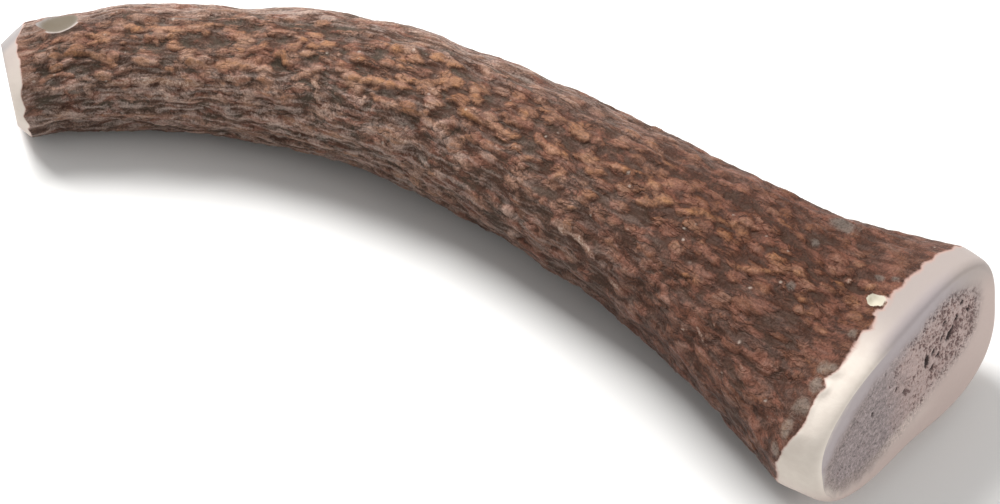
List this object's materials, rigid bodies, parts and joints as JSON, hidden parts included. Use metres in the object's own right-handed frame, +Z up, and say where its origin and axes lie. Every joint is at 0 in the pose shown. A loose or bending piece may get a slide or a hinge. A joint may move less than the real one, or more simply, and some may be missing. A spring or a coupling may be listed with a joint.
{
  "type": "deer antler dog chew",
  "caption": "Curved length of bark-covered deer antler that tapers from a flared oval sawn end to a small round one, with both cut edges ground back to bare bone.",
  "frame": {"origin": "middle of the bottom of the bounding box, on the surface that the chew lies on", "axes": "+X along the length of the box, from the narrow cut towards the wide cut; +Y across, towards the outer side of the bend; +Z up, square to the plane of the bend"},
  "size_m": [0.1792, 0.1162, 0.0307],
  "materials": {
    "antler": "satin"
  },
  "bodies": {
    "root": {"antler_chew": "antler"}
  },
  "joints": []
}
